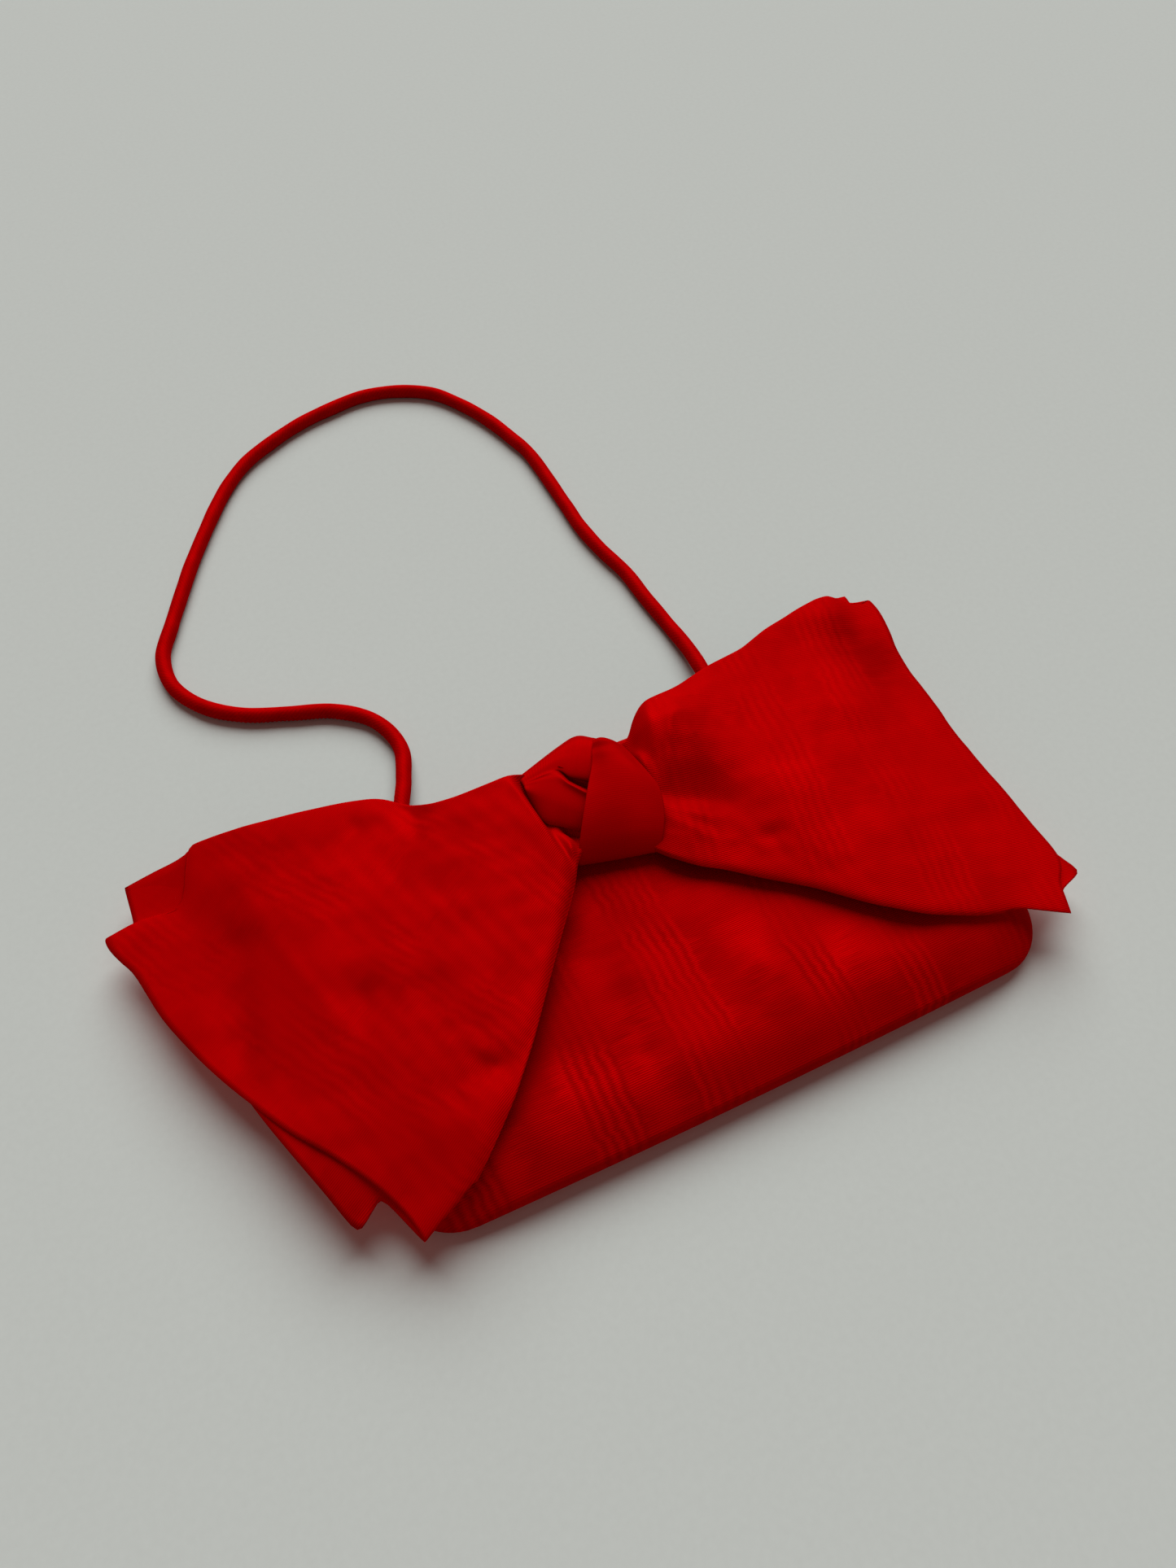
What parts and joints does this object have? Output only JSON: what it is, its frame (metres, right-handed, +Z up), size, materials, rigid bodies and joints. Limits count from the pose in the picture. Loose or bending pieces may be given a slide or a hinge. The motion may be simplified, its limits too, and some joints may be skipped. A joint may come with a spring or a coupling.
{
  "type": "shoulder bag",
  "caption": "Soft rectangular evening shoulder bag of red moire cloth lying on its back, closed by a flap under a wide knotted bow, with a thin rolled cord strap.",
  "frame": {"origin": "on the table under the middle of the bag's footprint, the strap left out", "axes": "X along the bag's bottom edge, Y from the bottom edge towards the mouth and strap, Z up off the table, out of the bag's front"},
  "size_m": [0.3154, 0.3988, 0.0398],
  "materials": {
    "red_faille": "watered ribbed cloth with a soft sheen",
    "lining_cloth": "plain smooth lining",
    "red_cord": "rolled cloth over a soft cord",
    "snap_metal": "plated"
  },
  "bodies": {
    "root": {"pouch_shell": "red_faille", "pouch_lining": "lining_cloth", "flap": "red_faille", "snap_socket": "snap_metal", "snap_stud": "snap_metal", "bow_tube": "red_faille", "knot_under_wrap": "red_faille", "knot_band": "red_faille", "strap_cord": "red_cord"}
  },
  "joints": []
}
